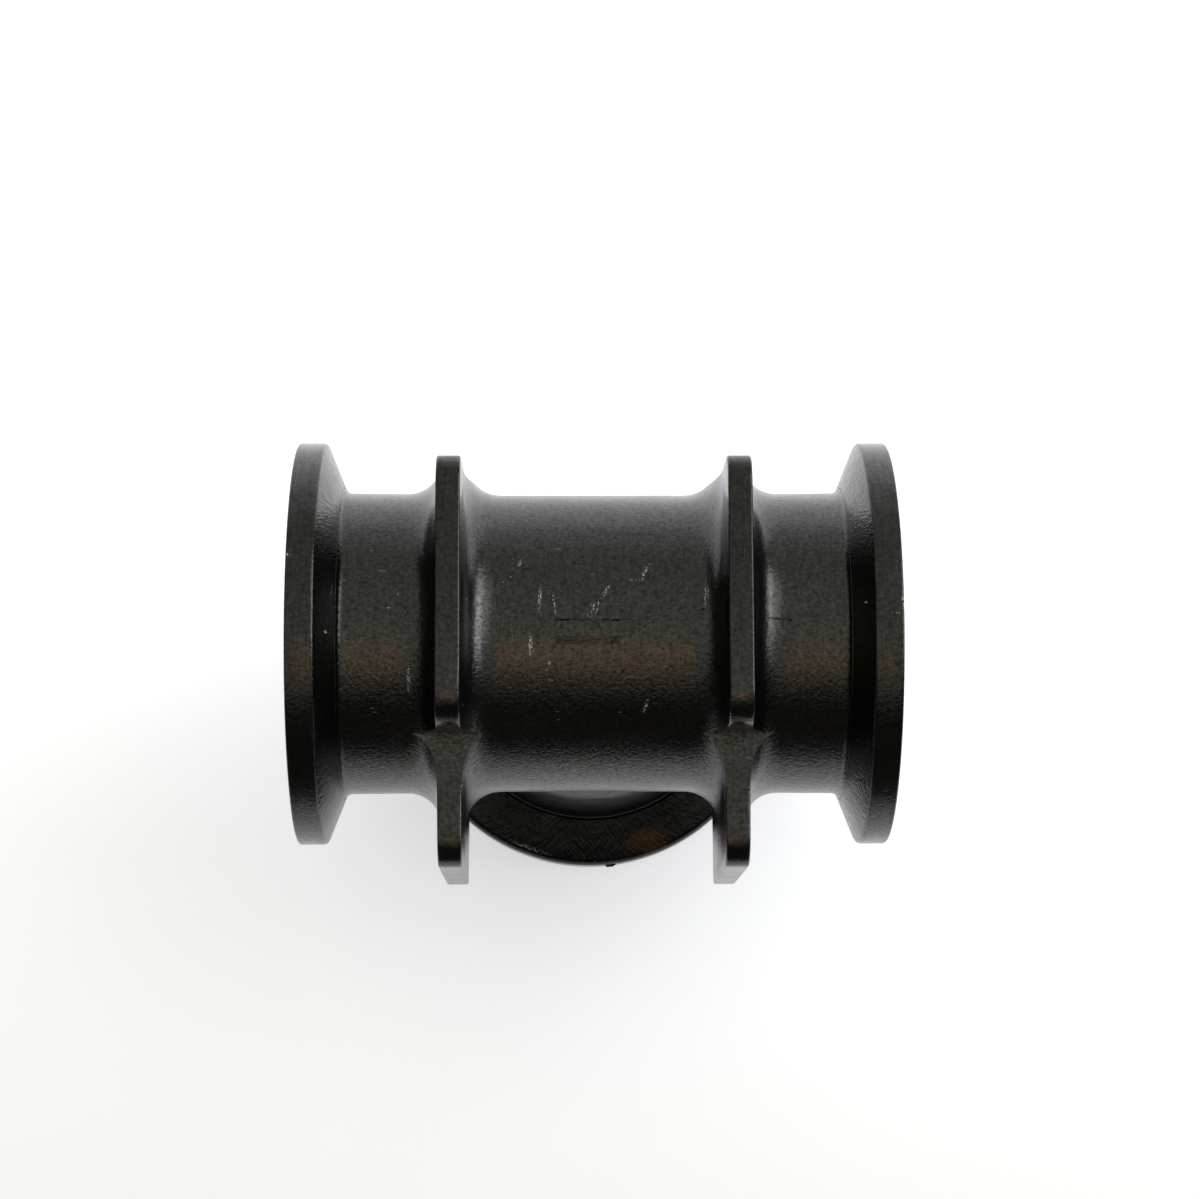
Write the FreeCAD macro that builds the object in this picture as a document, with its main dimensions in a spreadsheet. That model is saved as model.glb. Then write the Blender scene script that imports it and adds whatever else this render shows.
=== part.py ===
import FreeCAD
import Part
import Sketcher
import math
import os

# Flanged tee for a clamp-joined manifold, moulded in one piece.
# The run pipe lies along X and the branch pipe points down, to -Z.
# Two rib plates cross the run at the sides of the branch, and each ends in a foot towards -Y.
# The body is drawn about the run axis, and its placement lifts it by the branch length,
# so the part's origin is the centre of the branch flange's face.

# Driving dimensions in millimetres and degrees: alias, value, what it is.
SIZES = [
    ("run_length", 117.1, "flange face to flange face along the run"),
    ("branch_length", 61.3, "run axis to the face of the branch flange"),
    ("run_bore_diameter", 47.6, "waterway through the run"),
    ("branch_bore_diameter", 46.8, "waterway through the branch, a little under the run's"),
    ("pipe_diameter", 60.1, "outside of the run where a plate stands on it"),
    ("middle_inset", 0.25, "how far the run between the plates lies inside the pipe's outside"),
    ("hub_flare", 0.2, "how far a pipe end stands out where its flange starts"),
    ("branch_inset", 0.2, "how far the branch lies inside the middle of the run where they meet"),
    ("flange_diameter", 80.6, "outside of a clamp flange"),
    ("rim_width", 5.4, "straight part of a flange rim"),
    ("taper_length", 4.05, "length along the pipe of the clamp taper behind the rim"),
    ("rim_back_bevel", 1.0, "bevel between the rim and the clamp taper"),
    ("rim_face_bevel", 0.5, "bevel between the rim and the flange face"),
    ("hub_bevel", 1.3, "hollow bevel between the clamp taper and the pipe"),
    ("seat_inner_diameter", 54.0, "inner wall of the gasket seat in a flange face"),
    ("seat_outer_diameter", 64.0, "outer wall of the gasket seat"),
    ("seat_depth", 1.2, "depth of the gasket seat"),
    ("plate_spacing", 55.6, "middle of one rib plate to middle of the other"),
    ("plate_thickness", 5.0, "thickness of a rib plate at the pipe"),
    ("plate_draft", 0.5, "mould draft on each side of a rib plate, in degrees"),
    ("outer_root_round", 6.65, "hollow round between a plate's outer side and the pipe"),
    ("inner_root_round", 7.0, "hollow round between a plate's inner side and the pipe"),
    ("rib_above", 1.25, "top edge of a rib above the pipe that it stands on"),
    ("rib_behind", 0.55, "back edge of a plate behind the pipe that it stands on"),
    ("step_outside", 0.33, "inner corner of the step from rib to foot, outside the pipe"),
    ("rib_corner", 6.2, "corner radius of a rib in side view"),
    ("foot_front", 22.15, "run axis to the front edge of a foot"),
    ("foot_drop", 46.3, "run axis down to the foot's standing edge"),
    ("foot_corner", 6.15, "corner radius of a foot in side view"),
]

document = FreeCAD.newDocument("FlangedTee")
sheet = document.addObject("Spreadsheet::Sheet", "Dimensions")
for row, (alias, value, meaning) in enumerate(SIZES, start=1):
    sheet.set("A%d" % row, alias)
    sheet.set("B%d" % row, str(value))
    sheet.set("C%d" % row, meaning)
    sheet.setAlias("B%d" % row, alias)
document.recompute()


class Size:
    """A size worked out from the sheet: its value now, and the expression that keeps it bound."""

    def __init__(self, value, text):
        self.value = value
        self.text = text

    def __add__(self, other):
        return Size(self.value + other.value, "(%s + %s)" % (self.text, other.text))

    def __sub__(self, other):
        return Size(self.value - other.value, "(%s - %s)" % (self.text, other.text))

    def __mul__(self, other):
        return Size(self.value * other.value, "(%s * %s)" % (self.text, other.text))

    def __truediv__(self, number):
        return Size(self.value / number, "(%s / %s)" % (self.text, number))

    def __neg__(self):
        return Size(-self.value, "(-%s)" % self.text)


def sheet_size(alias):
    """The sheet's own value under an alias."""
    return Size(float(sheet.get(alias)), "Dimensions.%s" % alias)


def tangent(alias):
    """The tangent of an angle that the sheet keeps in degrees."""
    degrees = sheet_size(alias)
    return Size(math.tan(math.radians(degrees.value)), "tan(%s * 1 deg)" % degrees.text)


def across_corner(first, second):
    """The distance across a right angle with these two sides."""
    value = math.hypot(first.value, second.value)
    return Size(value, "sqrt(%s ^ 2 + %s ^ 2)" % (first.text, second.text))


def other_side(across, side):
    """The second side of a right angle, from the distance across it and the first side."""
    value = math.sqrt(across.value ** 2 - side.value ** 2)
    return Size(value, "sqrt(%s ^ 2 - %s ^ 2)" % (across.text, side.text))


ON_AXIS = Size(0.0, "0")

# Distances along a pipe from its axis crossing, and the radii there.
half_run = sheet_size("run_length") / 2
branch_length = sheet_size("branch_length")
rim_start = half_run - sheet_size("rim_width")
hub_end = rim_start - sheet_size("taper_length")
branch_rim_start = branch_length - sheet_size("rim_width")
branch_hub_end = branch_rim_start - sheet_size("taper_length")
flange_radius = sheet_size("flange_diameter") / 2
pipe_radius = sheet_size("pipe_diameter") / 2
hub_radius = pipe_radius + sheet_size("hub_flare")
middle_radius = pipe_radius - sheet_size("middle_inset")
branch_root_radius = middle_radius - sheet_size("branch_inset")
run_bore_radius = sheet_size("run_bore_diameter") / 2
branch_bore_radius = sheet_size("branch_bore_diameter") / 2

# The plates' sides at the pipe, and at the rim of the disks that they are cut from.
plate_middle = sheet_size("plate_spacing") / 2
half_plate = sheet_size("plate_thickness") / 2
plate_inner = plate_middle - half_plate
plate_outer = plate_middle + half_plate
disk_radius = across_corner(sheet_size("foot_drop"), flange_radius) + half_plate
narrowing = (disk_radius - pipe_radius) * tangent("plate_draft")
rim_inner = plate_inner + narrowing
rim_outer = plate_outer - narrowing

body = document.addObject("PartDesign::Body", "TeeBody")
body.Label = "tee_body"
body.setExpression("Placement.Base.z", "Dimensions.branch_length")
planes = {feature.Role: feature for feature in body.Origin.OriginFeatures}


def new_sketch(name, plane):
    """A sketch of the body on one of its own origin planes."""
    sketch = body.newObject("Sketcher::SketchObject", name)
    sketch.AttachmentSupport = (planes[plane], [""])
    sketch.MapMode = "FlatFace"
    return sketch


def hold(sketch, kind, line, axis, size):
    """Hold the start of a line at a distance from the sketch's origin, or on its axis."""
    if size is ON_AXIS:
        sketch.addConstraint(Sketcher.Constraint("PointOnObject", line, 1, axis))
        return
    index = sketch.addConstraint(Sketcher.Constraint(kind, line, 1, size.value))
    sketch.setExpression("Constraints[%d]" % index, size.text)


def draw_outline(sketch, corners):
    """Draw a closed outline of straight lines, with each corner held at its two distances."""
    first = sketch.GeometryCount
    count = len(corners)
    for number, (across, up) in enumerate(corners):
        next_across, next_up = corners[(number + 1) % count]
        start = FreeCAD.Vector(across.value, up.value, 0)
        end = FreeCAD.Vector(next_across.value, next_up.value, 0)
        sketch.addGeometry(Part.LineSegment(start, end), False)
    for number in range(count):
        following = first + (number + 1) % count
        sketch.addConstraint(Sketcher.Constraint("Coincident", first + number, 2, following, 1))
    for number, (across, up) in enumerate(corners):
        hold(sketch, "DistanceX", first + number, -2, across)
        hold(sketch, "DistanceY", first + number, -1, up)


def mirrored(corners):
    """Corners on the positive side of the run, with their mirror images ahead of them."""
    return [(-across, up) for across, up in reversed(corners)] + corners


def draw_circle(sketch, radius):
    """Draw a circle about the sketch's origin."""
    circle = Part.Circle(FreeCAD.Vector(0, 0, 0), FreeCAD.Vector(0, 0, 1), radius.value)
    number = sketch.addGeometry(circle, False)
    sketch.addConstraint(Sketcher.Constraint("Coincident", number, 3, -1, 1))
    index = sketch.addConstraint(Sketcher.Constraint("Radius", number, radius.value))
    sketch.setExpression("Constraints[%d]" % index, radius.text)


def turn(kind, name, sketch, axis):
    """Turn a sketch fully about one of its axes, as a Revolution or a Groove."""
    feature = body.newObject("PartDesign::%s" % kind, name)
    feature.Profile = sketch
    feature.ReferenceAxis = (sketch, [axis])
    feature.Angle = 360
    document.recompute()
    return feature


def edge_feature(kind, size_name, name, base, alias, wanted):
    """A Fillet or Chamfer on the edges of a feature that a test picks out, to a size from the sheet."""
    names = ["Edge%d" % number for number, edge in enumerate(base.Shape.Edges, start=1) if wanted(edge)]
    feature = body.newObject("PartDesign::%s" % kind, name)
    feature.Base = (base, names)
    feature.setExpression(size_name, "Dimensions.%s" % alias)
    document.recompute()
    return feature


def round_edges(name, base, alias, wanted):
    """Round the edges that a test picks out."""
    return edge_feature("Fillet", "Radius", name, base, alias, wanted)


def bevel_edges(name, base, alias, wanted):
    """Bevel the edges that a test picks out."""
    return edge_feature("Chamfer", "Size", name, base, alias, wanted)


def near(first, second):
    """Whether two lengths are the same but for rounding in the arithmetic."""
    return abs(first - second) < 1e-4


def is_ring(edge, axis, distance, radius):
    """Whether an edge is a circle about an axis through the origin, at a distance along it."""
    if not isinstance(edge.Curve, Part.Circle):
        return False
    along = edge.Curve.Center.dot(axis)
    off_axis = (edge.Curve.Center - axis * along).Length
    square = near(abs(edge.Curve.Axis.dot(axis)), 1)
    return square and near(off_axis, 0) and near(abs(along), distance.value) and near(edge.Curve.Radius, radius.value)


def is_corner(edge, across, up):
    """Whether an edge runs along X at a place in side view."""
    if len(edge.Vertexes) != 2:
        return False
    start = edge.Vertexes[0].Point
    end = edge.Vertexes[1].Point
    level = near(start.y, across.value) and near(start.z, up.value)
    return level and near(start.y, end.y) and near(start.z, end.z)


ALONG_RUN = FreeCAD.Vector(1, 0, 0)
ALONG_BRANCH = FreeCAD.Vector(0, 0, 1)

# The pipe between the flanges, with a drafted disk where each plate will stand.
disk_sketch = new_sketch("DiskProfile", "XY_Plane")
draw_outline(disk_sketch, mirrored([
    (plate_inner, middle_radius),
    (rim_inner, disk_radius),
    (rim_outer, disk_radius),
    (plate_outer, pipe_radius),
    (hub_end, hub_radius),
    (hub_end, ON_AXIS),
]))
disks = turn("Revolution", "Disks", disk_sketch, "H_Axis")
outer_roots = round_edges(
    "OuterRoots", disks, "outer_root_round",
    lambda edge: is_ring(edge, ALONG_RUN, plate_outer, pipe_radius))
inner_roots = round_edges(
    "InnerRoots", outer_roots, "inner_root_round",
    lambda edge: is_ring(edge, ALONG_RUN, plate_inner, middle_radius))

# The side view of a plate: everything outside it is cut away from the disks,
# and the root rounds are cut flat with it, which leaves the flared end of each rib and foot.
# A rib's front is level with the flange rims, and the step's inner corner just clears the pipe.
rib_top = pipe_radius + sheet_size("rib_above")
rib_front = flange_radius
foot_front = sheet_size("foot_front")
rib_underside = -other_side(pipe_radius + sheet_size("step_outside"), foot_front)
foot_back = -(pipe_radius + sheet_size("rib_behind"))
foot_drop = -sheet_size("foot_drop")
clear = disk_radius + half_plate
outline_sketch = new_sketch("PlateOutline", "YZ_Plane")
draw_outline(outline_sketch, [(-clear, -clear), (clear, -clear), (clear, clear), (-clear, clear)])
draw_outline(outline_sketch, [
    (rib_top, foot_back),
    (rib_top, rib_front),
    (rib_underside, rib_front),
    (rib_underside, foot_front),
    (foot_drop, foot_front),
    (foot_drop, foot_back),
])
plates = body.newObject("PartDesign::Pocket", "Plates")
plates.Profile = outline_sketch
plates.Type = "ThroughAll"
plates.SideType = "Symmetric"
document.recompute()
rib_corners = round_edges(
    "RibCorners", plates, "rib_corner",
    lambda edge: is_corner(edge, rib_top, rib_front) or is_corner(edge, rib_underside, rib_front))
round_edges(
    "FootCorners", rib_corners, "foot_corner",
    lambda edge: is_corner(edge, foot_drop, foot_front))

# The run pipe with its two clamp flanges.
run_sketch = new_sketch("RunProfile", "XY_Plane")
draw_outline(run_sketch, mirrored([
    (plate_inner, middle_radius),
    (plate_outer, pipe_radius),
    (hub_end, hub_radius),
    (rim_start, flange_radius),
    (half_run, flange_radius),
    (half_run, ON_AXIS),
]))
turn("Revolution", "Run", run_sketch, "H_Axis")

# The branch pipe with its clamp flange.
branch_sketch = new_sketch("BranchProfile", "XZ_Plane")
draw_outline(branch_sketch, [
    (ON_AXIS, ON_AXIS),
    (branch_root_radius, ON_AXIS),
    (hub_radius, -branch_hub_end),
    (flange_radius, -branch_rim_start),
    (flange_radius, -branch_length),
    (ON_AXIS, -branch_length),
])
branch = turn("Revolution", "Branch", branch_sketch, "V_Axis")


def is_flange_ring(edge, run_distance, branch_distance, radius):
    """Whether an edge is the same ring of any of the three flanges."""
    on_run = is_ring(edge, ALONG_RUN, run_distance, radius)
    return on_run or is_ring(edge, ALONG_BRANCH, branch_distance, radius)


rim_backs = bevel_edges(
    "RimBacks", branch, "rim_back_bevel",
    lambda edge: is_flange_ring(edge, rim_start, branch_rim_start, flange_radius))
rim_faces = bevel_edges(
    "RimFaces", rim_backs, "rim_face_bevel",
    lambda edge: is_flange_ring(edge, half_run, branch_length, flange_radius))
bevel_edges(
    "HubBevels", rim_faces, "hub_bevel",
    lambda edge: is_flange_ring(edge, hub_end, branch_hub_end, hub_radius))

# The gasket seats in the flange faces.
seat_inner = sheet_size("seat_inner_diameter") / 2
seat_outer = sheet_size("seat_outer_diameter") / 2
seat_depth = sheet_size("seat_depth")
run_seat_sketch = new_sketch("RunSeatProfile", "XY_Plane")
for face, floor in ((half_run, half_run - seat_depth), (-half_run, seat_depth - half_run)):
    draw_outline(run_seat_sketch, [
        (floor, seat_inner),
        (face, seat_inner),
        (face, seat_outer),
        (floor, seat_outer),
    ])
turn("Groove", "RunSeats", run_seat_sketch, "H_Axis")
branch_seat_sketch = new_sketch("BranchSeatProfile", "XZ_Plane")
draw_outline(branch_seat_sketch, [
    (seat_inner, -branch_length),
    (seat_outer, -branch_length),
    (seat_outer, seat_depth - branch_length),
    (seat_inner, seat_depth - branch_length),
])
turn("Groove", "BranchSeat", branch_seat_sketch, "V_Axis")

# The waterway.
run_bore_sketch = new_sketch("RunBoreCircle", "YZ_Plane")
draw_circle(run_bore_sketch, run_bore_radius)
run_bore = body.newObject("PartDesign::Pocket", "RunBore")
run_bore.Profile = run_bore_sketch
run_bore.Type = "ThroughAll"
run_bore.SideType = "Symmetric"
branch_bore_sketch = new_sketch("BranchBoreCircle", "XY_Plane")
draw_circle(branch_bore_sketch, branch_bore_radius)
branch_bore = body.newObject("PartDesign::Pocket", "BranchBore")
branch_bore.Profile = branch_bore_sketch
branch_bore.Type = "ThroughAll"
document.recompute()

# Every feature is sound before anything is written.
document.recompute()
for item in document.Objects:
    if "Invalid" in item.State or "Error" in item.State:
        raise RuntimeError("%s did not build: %s" % (item.Name, item.State))
if body.Shape.isNull() or not body.Shape.isValid() or len(body.Shape.Solids) != 1:
    raise RuntimeError("the tee is not one valid solid")
os.makedirs("parts", exist_ok=True)
body.Shape.exportStep(os.path.join("parts", "%s.step" % body.Label))
for item in document.Objects:
    if item.isDerivedFrom("PartDesign::Feature"):
        print("%s %.1f mm3" % (item.Name, item.Shape.Volume))
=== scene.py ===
import math
from functools import partial

import bmesh
import bpy
from mathutils import Matrix, Vector, noise


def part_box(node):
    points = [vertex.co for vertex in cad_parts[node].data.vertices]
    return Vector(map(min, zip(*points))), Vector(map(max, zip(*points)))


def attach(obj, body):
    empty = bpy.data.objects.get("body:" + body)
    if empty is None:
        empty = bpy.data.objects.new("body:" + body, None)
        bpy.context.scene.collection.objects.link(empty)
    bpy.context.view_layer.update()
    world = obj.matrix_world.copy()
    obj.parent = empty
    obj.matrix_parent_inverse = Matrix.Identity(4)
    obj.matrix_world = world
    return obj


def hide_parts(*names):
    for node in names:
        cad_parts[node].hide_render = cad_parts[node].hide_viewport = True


# Flanged tee, moulded in one piece. It stands on its branch flange and is seen almost from
# straight above. The run lies along X, the branch points down, and the feet point to -Y.

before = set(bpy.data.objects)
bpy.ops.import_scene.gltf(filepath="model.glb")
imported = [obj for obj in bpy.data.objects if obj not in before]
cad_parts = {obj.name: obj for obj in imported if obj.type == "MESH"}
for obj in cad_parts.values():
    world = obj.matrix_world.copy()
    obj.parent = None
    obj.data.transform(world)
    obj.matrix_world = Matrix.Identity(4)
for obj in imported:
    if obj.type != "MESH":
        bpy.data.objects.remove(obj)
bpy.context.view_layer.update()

MM = 0.001
ALONG_X = Vector((1, 0, 0))
ALONG_Z = Vector((0, 0, 1))
FACE_MIDDLE = Vector((0, 0, 0))

# Sizes in millimetres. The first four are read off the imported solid.
low, high = (Vector(corner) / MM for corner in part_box("tee_body"))
HALF_RUN = high.x
FOOT_DROP = -low.y
FLANGE_RADIUS = high.y
AXIS_HEIGHT = high.z - FLANGE_RADIUS
RUN_AXIS = Vector((0, 0, AXIS_HEIGHT))

# Pipes and bores.
PIPE_RADIUS = 30.05          # the run outside its plates
MIDDLE_RADIUS = 29.8         # the run between its plates
HUB_RADIUS = 30.25           # either pipe at the foot of a flange
BRANCH_ROOT_RADIUS = 29.6    # the branch where it meets the run
RUN_BORE_RADIUS = 23.8
BRANCH_BORE_RADIUS = 23.4
BORE_LIP = 0.4

# Flanges: a rim and a taper, with a ring seat for a gasket in the face.
RIM_WIDTH = 5.4
RIM_FACE_ROUND = 0.45
TAPER_LENGTH = 4.05
SEAT_INNER_RADIUS = 27.0
SEAT_OUTER_RADIUS = 32.0
SEAT_DEPTH = 1.2
RIM_START = HALF_RUN - RIM_WIDTH
HUB_END = RIM_START - TAPER_LENGTH

# Rounds, and the turned line at the foot of the taper. The branch's are larger in the photo.
RUN_RIM_ROUND = 0.9
RUN_HUB_ROUND = 1.6
RUN_LINE_WIDTH = 0.16
RUN_LINE_DEPTH = 0.12
BRANCH_RIM_ROUND = 2.0
BRANCH_HUB_ROUND = 0.5
BRANCH_LINE_WIDTH = 0.36
BRANCH_LINE_DEPTH = 0.3
LINE_OFFSET = 0.02           # from the end of the hub's round to the turned line

# Plates, each a rib with a foot. Seen along the run, top is +Y and front is +Z, from the run axis.
PLATE_INNER = 25.3           # a plate's two sides at the pipe, from the middle of the run
PLATE_OUTER = 30.3
PLATE_DRAFT = math.radians(0.5)
INNER_ROOT_ROUND = 7.0
OUTER_ROOT_ROUND = 6.65
RIB_TOP = 31.3
RIB_FRONT = FLANGE_RADIUS
RIB_UNDERSIDE = -20.79
RIB_CORNER = 6.2
FOOT_FRONT = 22.15
FOOT_BACK = -30.6
FOOT_CORNER = 6.15
BACK_CORNER = 0.6
PLATE_EDGE_ROUND = 0.5
PLATE_ROUND_START = 37.5     # nearer the run axis, the root rounds leave too little of a side
DISK_RADIUS = math.hypot(FOOT_DROP, RIB_FRONT) + 3.0
WASTE_REACH = DISK_RADIUS + 5.0
PLATE_ZONE = HUB_END - 5.0   # the plates and their root rounds lie nearer the middle than this
CUT_MARGIN = 1.0             # how far a cutting tool passes the faces that it opens

# How finely the shapes are divided.
TURNS = 288
ARC_STEP = math.radians(7.5)
LEAST_CHORDS = 3
LONGEST_STRIP = 4.0
EDGE_SEGMENTS = 4
WELD = 1e-4
WELD_AFTER_CUTS = 1e-3
SHARP_ANGLE = math.radians(35)

# How faces are told apart when the plates' edges are rounded.
LEVEL_ANGLE = math.radians(0.4)   # neighbours that differ by less become one face
FACING_X = 0.999                  # a side's normal has more than this along X
EDGE_ON_TO_X = 1e-3               # a cut edge's normal has less than this along X
SKIN_CLEARANCE = 0.2              # both lie further than this outside the pipe's skin

# The gate on top of the run: low pads of (from x, to x, top radius) in front of the parting line,
# grooves of (from x, to x, y, width, depth) along it, and torn plastic on the pads.
CREST = AXIS_HEIGHT + MIDDLE_RADIUS
GATE_PADS = [
    (-7.2, -3.12, MIDDLE_RADIUS + 0.2), (-2.98, 3.0, MIDDLE_RADIUS + 0.1),
    (3.14, 4.9, MIDDLE_RADIUS + 0.2)]
PAD_EDGE = -3.1              # a pad slopes down to the skin between these two places in Y
PAD_FOOT = -4.7
PAD_FOOT_HEIGHT = math.sqrt(MIDDLE_RADIUS ** 2 - PAD_FOOT ** 2) - 0.03
PAD_ROOT = MIDDLE_RADIUS - 2.0
PAD_STEP = 0.5
PARTING_GROOVES = [
    (-7.4, -4.6, 0.14, 0.9, 0.14), (-4.5, -3.2, 0.22, 0.8, 0.12), (3.3, 5.1, 0.1, 0.8, 0.12),
    (5.2, 7.4, 0.2, 0.7, 0.1), (7.6, 18.2, 0.12, 0.6, 0.03)]
GROOVE_TOP = MIDDLE_RADIUS + 0.35

# The box round the gate where edges are kept crisp, and how sharp they are at least.
GATE_REACH = 19.0
GATE_FRONT = PAD_FOOT - 0.5
GATE_BEHIND = 1.5
GATE_FLOOR = CREST - 0.6
GATE_EDGE_ANGLE = math.radians(4)

# Uneven lumps that are added or cut away, as (x, y, z, three half sizes, turn about Z in degrees).
LUMP_UNEVENNESS = 0.45
LUMP_DETAIL = 2.1
LUMP_SUBDIVISIONS = 3
TORN_GATE = [
    (-1.9, 0.3, CREST, 1.5, 0.45, 0.32, 8), (0.2, 0.1, CREST, 1.1, 0.6, 0.38, -6),
    (2.1, 0.35, CREST, 1.3, 0.4, 0.3, 4), (3.9, -0.1, CREST, 0.7, 0.25, 0.2, 12)]
RIM_BURR = (4.4, -40.2, 3.2, 1.1, 0.35, 0.5, 6)
NICKS = [
    (-58.4, 11.4, 100.3, 0.75, 0.5, 0.4, 20), (-58.7, -36.6, 77.4, 0.5, 0.5, 0.6, 0),
    (-58.75, -38.4, 72.9, 0.45, 0.35, 0.5, 0), (58.7, 2.2, 101.75, 0.5, 1.3, 0.45, 0),
    (58.6, -27.9, 90.5, 0.4, 0.5, 0.45, 0)]


def eased(corners):
    """Points of an outline of (across, up, radius) corners, with each corner's round as chords."""
    points = []
    for number, (across, up, radius) in enumerate(corners):
        here = Vector((across, up))
        if radius == 0:
            points.append(here)
            continue
        before = Vector(corners[number - 1][:2]) - here
        after = Vector(corners[(number + 1) % len(corners)][:2]) - here
        before.normalize()
        after.normalize()
        half = before.angle(after) / 2
        middle = here + (before + after).normalized() * radius / math.sin(half)
        first = here + before * radius / math.tan(half) - middle
        sweep = math.pi - 2 * half
        side = 1 if before.x * after.y - before.y * after.x < 0 else -1
        steps = max(LEAST_CHORDS, round(sweep / ARC_STEP))
        for step in range(steps + 1):
            turned = first.copy()
            turned.rotate(Matrix.Rotation(side * sweep * step / steps, 2))
            points.append(middle + turned)
    return points


def spaced(points, longest):
    """The same outline with its long straight stretches divided."""
    result = []
    for first, second in zip(points, points[1:]):
        count = max(1, math.ceil((second - first).length / longest))
        result += [first.lerp(second, step / count) for step in range(count)]
    return result + [points[-1]]


def put_in_order(bm):
    """Put vertices in the order of their places, and edges and faces in the order of their
    vertices. Spins and booleans leave an order that differs from run to run, and a merge or a
    rounding that meets another order gives a slightly different mesh."""
    sort_by(bm.verts, lambda vert: tuple(vert.co))
    bm.verts.index_update()
    for items in (bm.edges, bm.faces):
        sort_by(items, lambda item: sorted(vert.index for vert in item.verts))


def sort_by(items, key):
    """Sort a bmesh's vertices, edges or faces by a key that may be a list of numbers."""
    rank = {item: number for number, item in enumerate(sorted(items, key=key))}
    items.sort(key=rank.get)


def finished(name, bm):
    """An object from a bmesh that is in millimetres, which stay its units until the last step."""
    put_in_order(bm)
    mesh = bpy.data.meshes.new(name)
    bm.to_mesh(mesh)
    bm.free()
    piece = bpy.data.objects.new(name, mesh)
    bpy.context.scene.collection.objects.link(piece)
    return piece


def turned_solid(name, points, along, middle):
    """A closed solid from an outline of (distance along the axis, radius), spun about an axis."""
    bm = bmesh.new()
    outwards = ALONG_Z if along.x else ALONG_X
    verts = [bm.verts.new(middle + along * across + outwards * up) for across, up in points]
    edges = [bm.edges.new(pair) for pair in zip(verts, verts[1:])]
    bmesh.ops.spin(
        bm, geom=verts + edges, cent=middle, axis=along,
        angle=math.tau, steps=TURNS, use_merge=True)
    bmesh.ops.remove_doubles(bm, verts=bm.verts, dist=WELD)
    bmesh.ops.recalc_face_normals(bm, faces=bm.faces)
    return finished(name, bm)


def block(name, points, low_x, high_x):
    """A closed prism along X from an outline of (y, height above the run axis)."""
    bm = bmesh.new()
    verts = [bm.verts.new((low_x, across, up + AXIS_HEIGHT)) for across, up in points]
    face = bm.faces.new(verts)
    grown = bmesh.ops.extrude_face_region(bm, geom=[face])
    moved = [item for item in grown["geom"] if isinstance(item, bmesh.types.BMVert)]
    bmesh.ops.translate(bm, verts=moved, vec=(high_x - low_x, 0, 0))
    bmesh.ops.recalc_face_normals(bm, faces=bm.faces)
    return finished(name, bm)


def lump(name, shape):
    """A closed uneven lump, from (x, y, z, three half sizes, turn about Z in degrees)."""
    x, y, z, long, wide, tall, turn = shape
    bm = bmesh.new()
    place = Vector((x, y, z))
    grown = bmesh.ops.create_icosphere(bm, subdivisions=LUMP_SUBDIVISIONS, radius=1.0)["verts"]
    for vert in grown:
        vert.co *= 1 + LUMP_UNEVENNESS * noise.noise(vert.co * LUMP_DETAIL + place)
    bmesh.ops.transform(
        bm, verts=grown, matrix=Matrix.Translation(place)
        @ Matrix.Rotation(math.radians(turn), 4, "Z") @ Matrix.Diagonal((long, wide, tall, 1)))
    bmesh.ops.recalc_face_normals(bm, faces=bm.faces)
    return finished(name, bm)


def combine(piece, tool, operation):
    """Join a tool to a piece, or cut it away, and remove the tool."""
    modifier = piece.modifiers.new("combine", "BOOLEAN")
    modifier.operation = operation
    modifier.solver = "EXACT"
    modifier.object = tool
    bpy.context.view_layer.update()
    made = piece.evaluated_get(bpy.context.evaluated_depsgraph_get())
    mesh = bpy.data.meshes.new_from_object(made)
    piece.modifiers.clear()
    piece.data = mesh
    bpy.data.objects.remove(tool)


def gasket_seat(face, inwards):
    """Corners of the ring seat in a flange face, from its outside to its inside."""
    floor = face + inwards * SEAT_DEPTH
    return [(face, SEAT_OUTER_RADIUS, 0), (floor, SEAT_OUTER_RADIUS, 0),
            (floor, SEAT_INNER_RADIUS, 0), (face, SEAT_INNER_RADIUS, 0)]


def turned_line(foot, rim, hub_round, width, depth):
    """Corners of the fine groove where a flange's taper meets the round of its hub."""
    foot = Vector(foot)
    along = (Vector(rim) - foot).normalized()
    inwards = Vector((along.y, -along.x)) * (1 if along.x > 0 else -1)
    start = hub_round * math.tan(math.acos(abs(along.x)) / 2) + LINE_OFFSET
    reaches = ((start, 0), (start + width / 2, depth), (start + width, 0))
    return [(*(foot + along * reach + inwards * down), 0) for reach, down in reaches]


def run_outline():
    """Outline of the run from its middle to a flange face, with a whole disk for the plate."""
    narrowing = (DISK_RADIUS - PIPE_RADIUS) * math.tan(PLATE_DRAFT)
    foot = (HUB_END, HUB_RADIUS)
    rim = (RIM_START, FLANGE_RADIUS)
    return [
        (PLATE_INNER, MIDDLE_RADIUS, INNER_ROOT_ROUND),
        (PLATE_INNER + narrowing, DISK_RADIUS, 0),
        (PLATE_OUTER - narrowing, DISK_RADIUS, 0),
        (PLATE_OUTER, PIPE_RADIUS, OUTER_ROOT_ROUND),
        (*foot, RUN_HUB_ROUND),
        *turned_line(foot, rim, RUN_HUB_ROUND, RUN_LINE_WIDTH, RUN_LINE_DEPTH),
        (*rim, RUN_RIM_ROUND),
        (HALF_RUN, FLANGE_RADIUS, RIM_FACE_ROUND),
        *gasket_seat(HALF_RUN, -1),
        (HALF_RUN, 0, 0),
    ]


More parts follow.
